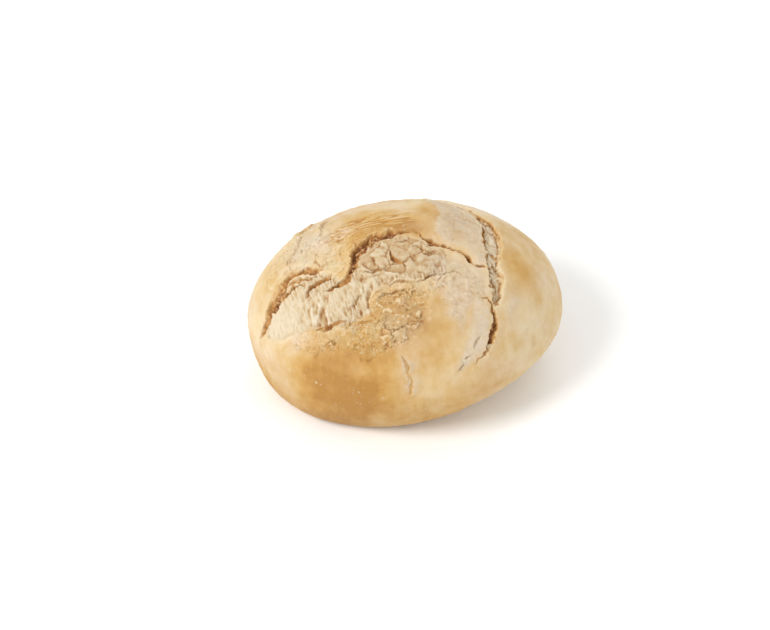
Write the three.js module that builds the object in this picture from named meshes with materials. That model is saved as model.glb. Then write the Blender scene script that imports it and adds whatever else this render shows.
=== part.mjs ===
import * as THREE from "three";
import { mergeVertices } from "three/addons/utils/BufferGeometryUtils.js";

// A crusty bread roll in one piece: an oval loaf, a little egg-shaped in plan, on a flat base.
// It rose past its own skin in the oven, so the seam along the top tore open, and a second
// tear runs across the roll near its +X end. Between the two lies a rough band of torn crumb.
//
// Millimetres, +X along the roll, +Y across it, +Z up. The base lies on z = 0, and the origin
// is under the middle of the roll.
//
// A place on the crust is a pair of angles [u, v] in degrees: how far it lies from the summit
// towards +X and towards +Y. 90 degrees is the widest line, more than that is under the roll.

// The loaf.
const LENGTH = 110;
const WIDTH = 90;
const HEIGHT = 55;
const WIDEST_AT = 0.395; // height of the widest line, as a share of HEIGHT
const DOME_UP = 1.82; // power of the dome's profile, 2 is an ellipse
const DOME_OUT = 1.91;
const SKIRT = 1.5; // power of the profile below the widest line
const SKIRT_SOFTNESS = 0.9; // how gently the skirt turns in below that line
const FOOT = 0.617; // size of the flat base against the widest line
const FOOT_EDGE = 128; // angle from the summit at which the flat base begins
const EGG = 0.046; // how much the +X end is fuller
const LOBES = 0.005; // slight three-sidedness of the plan
const SUMMIT_SHIFT = [2, 1.5]; // lean of the summit
const FOOT_SHIFT = [-10.7, -3.1]; // and of the base, so that the +X end overhangs
const LEAN = 2; // power by which the two shifts grow away from the widest line

// The unevenness of the dough: broad swells of about this height and spacing.
const SWELL = 0.5;
const SWELL_SPACING = 38;
const SWELL_WAVES = 6;

// The torn crumb, which lies a little below the crust and is knobbly.
const CRUMB_SINK = 0.9;
const CRUMB_KNOB = 0.55;
const CRUMB_KNOB_SPACING = 7;
const CRUMB_WAVES = 7;
const CRUMB_FADE = 5; // degrees over which crumb turns into crust

// The crumb's outline, as the ellipses [u, v, half length, half width, turn] that cover it.
const CRUMB_PATCHES = [
  [-48, -18, 17, 10, 14],
  [-27, -23, 16, 9, -20],
  [-8, -20, 17, 9, 0],
  [31, -6, 5, 26, -6],
  [30, -52, 5, 16, 4],
];

// Tears and flake edges. width and depth are the groove's, in mm. lip is the height of the
// crust's turned-up edge, and lipSide says where that is: 1 is left of the path, seen from
// outside. fade gives the shares of the path over which the first and last stretch run out.
const TEARS = [
  {
    name: "seam, -X end",
    path: [
      [-84, -19], [-73, -14], [-62, -9], [-55, -5.5],
      [-48, -3.5], [-40, -3.5], [-34, -5.5], [-29, -5],
    ],
    width: 4.2,
    depth: 4,
    lip: 1.3,
    lipSide: 1,
    fade: [0.3, 0.15],
  },
  {
    name: "seam, inner strand",
    path: [[-51, -6], [-43, -12], [-37, -10.5], [-31, -11]],
    width: 2.2,
    depth: 1.8,
    lip: 0.5,
    lipSide: 1,
    fade: [0.3, 0.3],
  },
  {
    name: "seam, middle",
    path: [
      [-34, -16.5], [-26, -15.5], [-22, -12], [-20, -8], [-18, -4],
      [-14, -1.5], [-8, -0.5], [0, -0.5], [6, -5],
    ],
    width: 4.4,
    depth: 4.4,
    lip: 1.6,
    lipSide: 1,
    fade: [0.2, 0.25],
  },
  {
    name: "seam, +X end",
    path: [[6, -5], [11, -7.5], [18, -10], [24, -16], [30, -18]],
    width: 2.4,
    depth: 2.2,
    lip: 0.8,
    lipSide: 1,
    fade: [0.2, 0],
  },
  {
    name: "cross tear, rear",
    path: [
      [8, 70], [14, 58], [20, 44], [25, 30], [29, 18],
      [33, 4], [31, -6], [30, -16], [32, -24], [34, -32],
    ],
    width: 4,
    depth: 3,
    lip: 0.9,
    lipSide: -1,
    fade: [0.25, 0.2],
  },
  {
    name: "cross tear, front",
    path: [[29, -32], [33, -37], [34.5, -44], [34, -52], [31, -61], [26, -67]],
    width: 3.4,
    depth: 3.2,
    lip: 0.9,
    lipSide: 1,
    fade: [0.2, 0.35],
  },
  {
    name: "rear tear",
    path: [[24, 36], [12, 43], [-4, 46], [-20, 44], [-34, 38], [-46, 36]],
    width: 3,
    depth: 2.4,
    lip: 1,
    lipSide: 1,
    fade: [0.1, 0.4],
  },
  {
    name: "rear split",
    path: [[-38, 54], [-37, 64], [-40, 74], [-38, 82]],
    width: 1.8,
    depth: 1.2,
    lip: 0.3,
    lipSide: 1,
    fade: [0.4, 0.4],
  },
  {
    name: "front split",
    path: [[-11, -60], [-10, -68], [-9, -76], [-12, -82]],
    width: 1.8,
    depth: 1.1,
    lip: 0.3,
    lipSide: 1,
    fade: [0.4, 0.4],
  },
  {
    name: "front split, +X",
    path: [[22, -56], [20, -62], [22, -66], [18, -74]],
    width: 1.6,
    depth: 1,
    lip: 0.3,
    lipSide: 1,
    fade: [0.4, 0.4],
  },
  {
    name: "flake, upper",
    path: [[-20, -29], [-10, -26.5], [2, -27.5], [14, -24]],
    width: 2.6,
    depth: 0.7,
    lip: 1,
    lipSide: 1,
    fade: [0.2, 0.3],
  },
  {
    name: "flake, middle",
    path: [[-16, -42], [-15, -46.5], [-5, -47], [1, -45]],
    width: 2.2,
    depth: 0.7,
    lip: 0.8,
    lipSide: -1,
    fade: [0.3, 0.3],
  },
  {
    name: "flake, -X side",
    path: [[-58, -33], [-50, -30], [-44, -35], [-34, -37], [-22, -42]],
    width: 2.4,
    depth: 0.8,
    lip: 0.9,
    lipSide: -1,
    fade: [0.2, 0.3],
  },
];
const LIP_REACH = 6; // mm over which a turned-up edge settles back into the crust
const WALL = 0.42; // share of a groove's width taken by its steep wall under the lip
const END_WIDTH = 0.35; // a groove's width at its ends, as a share of its full width
const RIM_RISE = 8; // mm above the base over which the dough's swells set in

// The mesh: triangle edges in mm, away from the tears, on the crumb and in the tears.
const START_DETAIL = 10;
const CRUST_EDGE = 6.5;
const CRUMB_EDGE = 2.7;
const TEAR_EDGE = 1.2;
const EDGE_GROWTH = 0.5; // how fast edges lengthen with distance from a tear
const EDGE_SLACK = 1.3; // an edge is split once it is this many times too long
const PATH_POINTS = 60; // points along each tear

const radians = THREE.MathUtils.degToRad;
const smoothstep = THREE.MathUtils.smoothstep;

// The direction from the loaf's heart to a place on the crust.
function directionOf([u, v]) {
  const fromSummit = radians(Math.hypot(u, v));
  const bearing = Math.atan2(v, u);
  const out = Math.sin(fromSummit);
  return new THREE.Vector3(out * Math.cos(bearing), out * Math.sin(bearing), Math.cos(fromSummit));
}

// The place on the crust in a given direction.
function placeOf(direction) {
  const fromSummit = THREE.MathUtils.radToDeg(Math.acos(THREE.MathUtils.clamp(direction.z, -1, 1)));
  const bearing = Math.atan2(direction.y, direction.x);
  return [fromSummit * Math.cos(bearing), fromSummit * Math.sin(bearing)];
}

// The plain loaf, without tears: dome, skirt and flat base.
function loafPoint(direction) {
  const bearing = Math.atan2(direction.y, direction.x);
  const fromSummit = Math.acos(THREE.MathUtils.clamp(direction.z, -1, 1));
  const oval = 1 / Math.hypot(Math.cos(bearing) / (LENGTH / 2), Math.sin(bearing) / (WIDTH / 2));
  const planRadius = oval * (1 + EGG * Math.cos(bearing) + LOBES * Math.sin(3 * bearing));
  const widest = WIDEST_AT * HEIGHT;
  const footEdge = radians(FOOT_EDGE);
  let share;
  let z;
  if (fromSummit <= Math.PI / 2) {
    share = Math.sin(fromSummit) ** (2 / DOME_OUT);
    z = widest + (HEIGHT - widest) * Math.max(Math.cos(fromSummit), 0) ** (2 / DOME_UP);
  } else if (fromSummit < footEdge) {
    const turn = ((fromSummit - Math.PI / 2) / (footEdge - Math.PI / 2)) * (Math.PI / 2);
    share = FOOT + (1 - FOOT) * Math.cos(turn) ** (2 / SKIRT);
    const soft = Math.hypot(Math.sin(turn), SKIRT_SOFTNESS) / Math.hypot(1, SKIRT_SOFTNESS);
    z = widest * (1 - Math.sin(turn) * soft ** (2 / SKIRT - 1));
  } else {
    share = (FOOT * (Math.PI - fromSummit)) / (Math.PI - footEdge);
    z = 0;
  }
  const up = Math.max((z - widest) / (HEIGHT - widest), 0) ** LEAN;
  const down = Math.max(1 - z / widest, 0) ** LEAN;
  return new THREE.Vector3(
    share * planRadius * Math.cos(bearing) + SUMMIT_SHIFT[0] * up + FOOT_SHIFT[0] * down,
    share * planRadius * Math.sin(bearing) + SUMMIT_SHIFT[1] * up + FOOT_SHIFT[1] * down,
    z,
  );
}

// The loaf's outward normal, from two neighbouring points.
function loafNormal(direction) {
  const step = 1e-3;
  const side = new THREE.Vector3(direction.z, direction.x, direction.y).cross(direction).normalize();
  const other = new THREE.Vector3().crossVectors(direction, side);
  const here = loafPoint(direction);
  const a = loafPoint(direction.clone().addScaledVector(side, step).normalize()).sub(here);
  const b = loafPoint(direction.clone().addScaledVector(other, step).normalize()).sub(here);
  return a.cross(b).normalize();
}

// Smooth unevenness between about -1 and 1: waves in directions spread evenly over the sphere.
function unevenness(point, spacing, waves) {
  const golden = Math.PI * (3 - Math.sqrt(5));
  let sum = 0;
  for (let i = 0; i < waves; i++) {
    const height = 1 - (2 * i + 1) / waves;
    const flat = Math.sqrt(1 - height * height);
    const across = point.x * flat * Math.cos(golden * i) + point.y * flat * Math.sin(golden * i);
    sum += Math.sin(((across + point.z * height) * 2 * Math.PI) / spacing + 1.7 * i);
  }
  return sum / Math.sqrt(waves);
}

// How far a place belongs to the torn crumb: 1 well inside, 0 on the crust.
function crumbShare([u, v]) {
  let share = 0;
  for (const [centreU, centreV, halfLength, halfWidth, turn] of CRUMB_PATCHES) {
    const cos = Math.cos(radians(turn));
    const sin = Math.sin(radians(turn));
    const along = (u - centreU) * cos + (v - centreV) * sin;
    const across = (v - centreV) * cos - (u - centreU) * sin;
    const inside = (1 - Math.hypot(along / halfLength, across / halfWidth)) * Math.min(halfLength, halfWidth);
    share = Math.max(share, smoothstep(inside, 0, CRUMB_FADE));
  }
  return share;
}

// Each tear's path as directions and as points on the loaf.
const tearLines = TEARS.map((tear) => {
  const corners = tear.path.map(([u, v]) => new THREE.Vector3(u, v, 0));
  const curve = new THREE.CatmullRomCurve3(corners, false, "centripetal");
  const directions = curve.getSpacedPoints(PATH_POINTS).map((p) => directionOf([p.x, p.y]));
  return { ...tear, directions, points: directions.map(loafPoint) };
});

// Where a point of the loaf lies against a tear: distance in mm, positive on the lip's side,
// and strength, which runs out towards the tear's ends.
function nearestOnTear(point, tear) {
  const { points, directions, fade } = tear;
  const onLine = new THREE.Vector3();
  const segment = new THREE.Line3();
  let best = { distance: Infinity };
  for (let i = 0; i + 1 < points.length; i++) {
    segment.set(points[i], points[i + 1]);
    const t = segment.closestPointToPointParameter(point, true);
    segment.at(t, onLine);
    const distance = onLine.distanceTo(point);
    if (distance < best.distance) best = { distance, i, t };
  }
  const { i, t } = best;
  const along = new THREE.Vector3().subVectors(points[i + 1], points[i]);
  const leftward = new THREE.Vector3().crossVectors(directions[i], along);
  const side = Math.sign(leftward.dot(new THREE.Vector3().subVectors(point, points[i])));
  const passed = (i + t) / (points.length - 1);
  const start = fade[0] ? smoothstep(passed, 0, fade[0]) : 1;
  const end = fade[1] ? smoothstep(1 - passed, 0, fade[1]) : 1;
  return { distance: best.distance * side * tear.lipSide, strength: Math.min(start, end) };
}

// The groove's depth and the lip's height at a distance from a tear's line. The groove slopes
// down gently towards the lip and ends in a steep wall below it.
function tearSection(tear, { distance, strength }) {
  const halfWidth = (tear.width * (END_WIDTH + (1 - END_WIDTH) * strength)) / 2;
  const bottom = halfWidth * (1 - 2 * WALL);
  const slope = smoothstep(distance, -halfWidth, bottom);
  const wall = smoothstep(halfWidth - distance, 0, halfWidth - bottom);
  const rising = smoothstep(distance, bottom, halfWidth);
  const beyond = Math.max(distance - halfWidth, 0) / LIP_REACH;
  const settling = Math.exp(-3 * beyond * beyond);
  return {
    groove: Math.min(slope, wall) * tear.depth * strength,
    lip: rising * settling * tear.lip * strength,
  };
}

// The finished surface: the loaf, its swells, the knobbly crumb, lips and grooves.
function crustPoint(direction) {
  const point = loafPoint(direction);
  if (point.z <= 0) return point;
  const place = placeOf(direction);
  const crumb = crumbShare(place);
  let groove = 0;
  let lip = 0;
  for (const tear of tearLines) {
    const section = tearSection(tear, nearestOnTear(point, tear));
    groove = Math.max(groove, section.groove);
    lip = Math.max(lip, section.lip);
  }
  const aboveRim = smoothstep(point.z, 0, RIM_RISE);
  const swell = SWELL * unevenness(point, SWELL_SPACING, SWELL_WAVES) * aboveRim;
  const knobs = CRUMB_KNOB * unevenness(point, CRUMB_KNOB_SPACING, CRUMB_WAVES);
  const rise = swell + crumb * (knobs - CRUMB_SINK) + lip - groove;
  return point.addScaledVector(loafNormal(direction), rise);
}

// The edge length wanted at a direction.
function wantedEdge(direction) {
  const point = loafPoint(direction);
  const crumb = crumbShare(placeOf(direction));
  let wanted = THREE.MathUtils.lerp(CRUST_EDGE, CRUMB_EDGE, crumb);
  for (const tear of tearLines) {
    const { distance } = nearestOnTear(point, tear);
    const gap = Math.max(Math.abs(distance) - tear.width / 2, 0);
    wanted = Math.min(wanted, TEAR_EDGE + EDGE_GROWTH * gap);
  }
  return wanted;
}

// Splits each edge that is longer than wanted, once. Triangles with one, two or three split
// edges become two, three or four, so neighbours always share whole edges.
function splitLongEdges(directions, triangles) {
  const middles = new Map();
  const middleOf = (a, b) => {
    const key = a < b ? `${a},${b}` : `${b},${a}`;
    if (!middles.has(key)) {
      const middle = new THREE.Vector3().addVectors(directions[a], directions[b]).normalize();
      const length = loafPoint(directions[a]).distanceTo(loafPoint(directions[b]));
      const split = length > wantedEdge(middle) * EDGE_SLACK;
      middles.set(key, split ? directions.push(middle) - 1 : -1);
    }
    return middles.get(key);
  };
  const finer = [];
  for (const corners of triangles) {
    const middlesHere = [0, 1, 2].map((i) => middleOf(corners[i], corners[(i + 1) % 3]));
    const count = middlesHere.filter((m) => m >= 0).length;
    // Turned so that the first edge is split and, of two split edges, the second is too.
    let first = Math.max(middlesHere.findIndex((m) => m >= 0), 0);
    if (count === 2 && middlesHere[(first + 1) % 3] < 0) first = (first + 2) % 3;
    const [a, b, c] = [0, 1, 2].map((i) => corners[(first + i) % 3]);
    const [ab, bc, ca] = [0, 1, 2].map((i) => middlesHere[(first + i) % 3]);
    if (count === 0) finer.push(corners);
    if (count === 1) finer.push([a, ab, c], [ab, b, c]);
    if (count === 2) finer.push([ab, b, bc], [a, ab, bc], [a, bc, c]);
    if (count === 3) finer.push([a, ab, ca], [ab, b, bc], [ca, bc, c], [ab, bc, ca]);
  }
  return finer;
}

// The roll's mesh: an even sphere of directions, made finer where the crust is torn, and each
// direction taken out to the finished surface.
function rollGeometry() {
  const sphere = new THREE.IcosahedronGeometry(1, START_DETAIL);
  sphere.deleteAttribute("normal");
  sphere.deleteAttribute("uv");
  const merged = mergeVertices(sphere, 1e-4);
  const position = merged.getAttribute("position");
  const directions = [];
  for (let i = 0; i < position.count; i++) {
    directions.push(new THREE.Vector3().fromBufferAttribute(position, i).normalize());
  }
  const corners = merged.index.array;
  let triangles = [];
  for (let i = 0; i < corners.length; i += 3) {
    triangles.push([corners[i], corners[i + 1], corners[i + 2]]);
  }
  let before = 0;
  while (triangles.length > before) {
    before = triangles.length;
    triangles = splitLongEdges(directions, triangles);
  }
  const geometry = new THREE.BufferGeometry().setFromPoints(directions.map(crustPoint));
  geometry.setIndex(triangles.flat());
  geometry.computeBoundingBox();
  const middle = geometry.boundingBox.getCenter(new THREE.Vector3());
  geometry.translate(-middle.x, -middle.y, 0);
  geometry.computeVertexNormals();
  return geometry;
}

const crust = new THREE.MeshStandardMaterial({ color: "#d9b98c", roughness: 0.85, metalness: 0 });

const roll = new THREE.Mesh(rollGeometry(), crust);
roll.name = "bread_roll";

const part = new THREE.Group();
part.add(roll);

export default part;
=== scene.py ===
"""A crusty bread roll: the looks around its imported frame.

The roll is one piece, `crust`, which stands for the CAD node bread_roll. Its surface is an oval
loaf, as in the CAD model, finely meshed and then moved by a relief: torn seams with raised
lips, fibrous torn crumb, flaky layers, stretch marks and the skin's own unevenness. Loose
flakes and crumbs lie on it as pieces of their own.

Lengths are in millimetres until a mesh is made. A place on the crust is a pair of angles
(u, v) in degrees: how far it lies from the summit towards +X and towards +Y.
"""

import itertools
from collections import namedtuple
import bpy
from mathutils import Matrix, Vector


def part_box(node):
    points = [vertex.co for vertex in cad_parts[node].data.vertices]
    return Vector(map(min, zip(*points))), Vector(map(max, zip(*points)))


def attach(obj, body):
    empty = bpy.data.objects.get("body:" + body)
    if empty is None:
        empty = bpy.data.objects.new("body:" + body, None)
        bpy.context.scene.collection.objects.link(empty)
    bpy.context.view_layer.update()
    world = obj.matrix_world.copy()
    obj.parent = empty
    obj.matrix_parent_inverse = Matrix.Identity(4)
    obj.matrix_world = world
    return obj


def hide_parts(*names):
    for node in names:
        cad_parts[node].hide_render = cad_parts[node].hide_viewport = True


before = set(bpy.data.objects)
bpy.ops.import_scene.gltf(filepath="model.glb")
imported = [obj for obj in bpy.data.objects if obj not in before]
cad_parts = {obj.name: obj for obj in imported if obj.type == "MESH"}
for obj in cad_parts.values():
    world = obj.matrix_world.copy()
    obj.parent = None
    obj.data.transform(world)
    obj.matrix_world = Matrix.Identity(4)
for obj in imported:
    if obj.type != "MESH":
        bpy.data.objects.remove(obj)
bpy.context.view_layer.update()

from types import SimpleNamespace

import bmesh
import bpy
import numpy as np
from mathutils import Vector
from mathutils.bvhtree import BVHTree

MM = 0.001

# ---- the loaf's plain form

LOW, HIGH = (np.array(corner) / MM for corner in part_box("bread_roll"))
TOP_LIP = 1.6  # how far the highest lip stands above the loaf
LENGTH, WIDTH, HEIGHT = HIGH - LOW - (0, 0, TOP_LIP)
WIDEST = 0.395 * HEIGHT  # height of the widest line
DOME_UP, DOME_OUT = 1.82, 1.91  # powers of the dome's profile, 2 is an ellipse
SKIRT, SKIRT_SOFTNESS = 1.5, 0.9  # power of the profile below the widest line
FOOT, FOOT_EDGE = 0.617, np.radians(128)  # size of the flat base, and where it begins
EGG, LOBES = 0.046, 0.005  # fuller +X end, slight three-sidedness
SUMMIT_SHIFT = np.array([2.0, 1.5, 0])
FOOT_SHIFT = np.array([-10.7, -3.1, 0])
LEAN = 2  # power by which the shifts grow away from the widest line


def unit(vectors):
    return vectors / np.linalg.norm(vectors, axis=-1, keepdims=True)


def smooth(value, start, end):
    """0 before start, 1 after end, and a soft step between."""
    share = np.clip((value - start) / (end - start), 0, 1)
    return share * share * (3 - 2 * share)


def direction(u, v):
    """The direction of the place (u, v), seen from the loaf's heart."""
    from_summit = np.radians(np.hypot(u, v))
    bearing = np.arctan2(v, u)
    out = np.sin(from_summit)
    return np.stack([out * np.cos(bearing), out * np.sin(bearing), np.cos(from_summit)], -1)


def place(directions):
    """The (u, v) of each direction."""
    from_summit = np.degrees(np.arccos(np.clip(directions[..., 2], -1, 1)))
    bearing = np.arctan2(directions[..., 1], directions[..., 0])
    return from_summit * np.cos(bearing), from_summit * np.sin(bearing)


def plain_loaf(directions):
    """Points of the loaf without its relief, before it is centred on the frame."""
    bearing = np.arctan2(directions[..., 1], directions[..., 0])
    from_summit = np.arccos(np.clip(directions[..., 2], -1, 1))
    oval = 1 / np.hypot(np.cos(bearing) / (LENGTH / 2), np.sin(bearing) / (WIDTH / 2))
    plan = oval * (1 + EGG * np.cos(bearing) + LOBES * np.sin(3 * bearing))

    dome = np.clip(from_summit, 0, np.pi / 2)
    share = np.sin(dome) ** (2 / DOME_OUT)
    z = WIDEST + (HEIGHT - WIDEST) * np.clip(np.cos(dome), 0, 1) ** (2 / DOME_UP)

    turn = np.clip((from_summit - np.pi / 2) / (FOOT_EDGE - np.pi / 2), 0, 1) * np.pi / 2
    soft = np.hypot(np.sin(turn), SKIRT_SOFTNESS) / np.hypot(1, SKIRT_SOFTNESS)
    skirt_share = FOOT + (1 - FOOT) * np.clip(np.cos(turn), 0, 1) ** (2 / SKIRT)
    skirt_z = WIDEST * (1 - np.sin(turn) * soft ** (2 / SKIRT - 1))
    share = np.where(from_summit > np.pi / 2, skirt_share, share)
    z = np.where(from_summit > np.pi / 2, skirt_z, z)

    foot_share = FOOT * (np.pi - from_summit) / (np.pi - FOOT_EDGE)
    share = np.where(from_summit > FOOT_EDGE, foot_share, share)
    z = np.where(from_summit > FOOT_EDGE, 0, z)

    up = np.clip((z - WIDEST) / (HEIGHT - WIDEST), 0, 1)[..., None] ** LEAN
    down = np.clip(1 - z / WIDEST, 0, 1)[..., None] ** LEAN
    points = np.stack([share * plan * np.cos(bearing), share * plan * np.sin(bearing), z], -1)
    return points + up * SUMMIT_SHIFT + down * FOOT_SHIFT


def outline_middle():
    """The middle of the loaf's outline in plan."""
    bearing = np.radians(np.arange(360))
    outline = plain_loaf(np.stack([np.cos(bearing), np.sin(bearing), 0 * bearing], -1))
    return (outline.max(axis=0) + outline.min(axis=0)) / 2


MIDDLE = (LOW + HIGH) / 2 - outline_middle()
MIDDLE[2] = LOW[2]


def loaf(directions):
    return plain_loaf(directions) + MIDDLE


def loaf_normals(directions):
    """Outward normals of the plain loaf, from neighbouring points."""
    side = unit(np.cross(directions, np.roll(directions, 1, axis=-1)))
    steps = 1e-3 * side, 1e-3 * np.cross(directions, side)
    across, along = (loaf(unit(directions + step)) - loaf(unit(directions - step)) for step in steps)
    return unit(np.cross(across, along))


# ---- noise


def scatter(cell, seed):
    """Repeatable numbers from 0 to 1, one for each whole-numbered cell."""
    x, y, z = (cell[..., axis].astype(np.uint32) for axis in range(3))
    mixed = x * np.uint32(0x8DA6B343) ^ y * np.uint32(0xD8163841) ^ z * np.uint32(0xCB1AB31F)
    mixed = mixed ^ np.uint32(seed * 0x9E3779B9 & 0xFFFFFFFF)
    for shift, factor in ((15, 0x2C1B3C6D), (12, 0x297A2D39)):
        mixed = (mixed ^ (mixed >> np.uint32(shift))) * np.uint32(factor)
    return (mixed ^ (mixed >> np.uint32(15))) / 2**32


def noise(points, size, seed):
    """Smooth bumps from about -1 to 1, about `size` apart."""
    scaled = points / size
    cell = np.floor(scaled).astype(np.int64)
    part = scaled - cell
    ease = part**3 * (part * (part * 6 - 15) + 10)
    total = np.zeros(len(points))
    for corner in itertools.product((0, 1), repeat=3):
        corner = np.array(corner)
        slope = np.stack([scatter(cell + corner, seed + 101 * axis) for axis in range(3)], -1)
        weight = np.where(corner, ease, 1 - ease).prod(axis=1)
        total += weight * ((part - corner) * (slope * 2 - 1)).sum(axis=1)
    return total * 1.8


def rough(points, size, seed, octaves=4, keep=0.55):
    """Noise with finer and finer bumps on the coarse ones."""
    return sum(noise(points, size / 2**i, seed + i) * keep**i for i in range(octaves))


def cells(points, size, seed):
    """For seeds strewn about `size` apart: the distances to the nearest one and the next, and
    a number from 0 to 1 that belongs to the nearest."""
    scaled = points / size
    cell = np.floor(scaled).astype(np.int64)
    part = scaled - cell
    nearest = np.full(len(points), 9.0)
    second = nearest.copy()
    name = np.zeros(len(points))
    for offset in itertools.product((-1, 0, 1), repeat=3):
        here = cell + np.array(offset)
        spot = np.stack([scatter(here, seed + 31 * axis) for axis in range(3)], -1)
        gap = np.linalg.norm(spot + np.array(offset) - part, axis=1)
        closer = gap < nearest
        second = np.where(closer, nearest, np.minimum(second, gap))
        name = np.where(closer, scatter(here, seed + 97), name)
        nearest = np.minimum(nearest, gap)
    return nearest * size, second * size, name


def terraces(value, sharpness=0.25):
    """Turns a slope into level steps of height 1 with steep edges."""
    step = np.floor(value)
    return step + smooth(value - step, 1 - sharpness, 1)


# ---- tears and zones

# A tear is a groove along a path, with its widths spread evenly along it. depth and lip are its
# depth and the height of its lip, in mm, where it is widest. The lip, the crust's edge above the
# groove, is left of the path seen from outside where side is 1 and right of it where side is -1.
# The bottom lies at the share `low` of the width, counted from the other edge. strands is how
# strongly the crust above the lip is drawn into strands, and dust how much flour lies there.
Tear = namedtuple("Tear", "path widths depth lip side low strands dust", defaults=(1, 0.5, 0, 0))

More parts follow.
